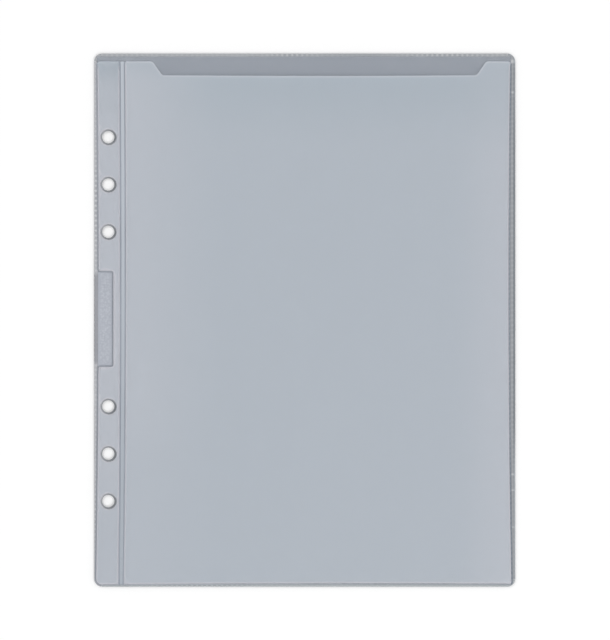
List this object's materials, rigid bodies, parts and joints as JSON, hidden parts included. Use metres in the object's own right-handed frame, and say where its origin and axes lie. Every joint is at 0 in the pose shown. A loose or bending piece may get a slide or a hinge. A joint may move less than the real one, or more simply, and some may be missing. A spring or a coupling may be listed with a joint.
{
  "type": "sheet protector",
  "caption": "Flat grey soft-film page pocket with welded edges, a punched ring margin with a fold line, and a thumb-cut mouth along the top for sliding a sheet in.",
  "frame": {"origin": "centre of the page's outline, on the underside of the rear film", "axes": "+X across the page away from the ring margin, +Y up the page to the mouth, +Z out of the front film"},
  "size_m": [0.169, 0.214, 0.0008],
  "materials": {
    "rear_film": "smooth soft vinyl film, smoke grey, see-through",
    "front_film": "smooth soft vinyl film, slightly hazy, see-through",
    "weld": "fused vinyl with a fine cross-cut knurl and a raised bead",
    "hem": "pressed vinyl edge with a fine cross-cut knurl",
    "label": "pressed matt vinyl, left bare"
  },
  "bodies": {
    "binding_margin": {"rear_margin_film": "rear_film", "front_margin_film": "front_film", "left_edge_weld": "weld", "margin_bottom_weld": "weld", "margin_top_hem": "hem", "label_panel": "label", "fold_weld": "weld"},
    "pocket": {"rear_pocket_film": "rear_film", "front_pocket_film": "front_film", "pocket_seam_weld": "weld", "right_edge_weld": "weld", "bottom_edge_weld": "weld", "top_edge_hem": "hem"},
    "mouth_lip": {"mouth_lip": "front_film"}
  },
  "joints": [
    {"name": "margin_fold", "type": "hinge", "parent": "binding_margin", "child": "pocket", "pos_m": [-0.0738, 0, 0.0004], "axis": [0, -1, 0], "range_deg": [0, 90], "stiffness_Nm_per_rad": 0.02},
    {"name": "lip_lift", "type": "hinge", "parent": "pocket", "child": "mouth_lip", "pos_m": [0.0059, 0.0581, 0.0006], "axis": [1, 0, 0], "range_deg": [0, 25], "stiffness_Nm_per_rad": 0.001}
  ]
}
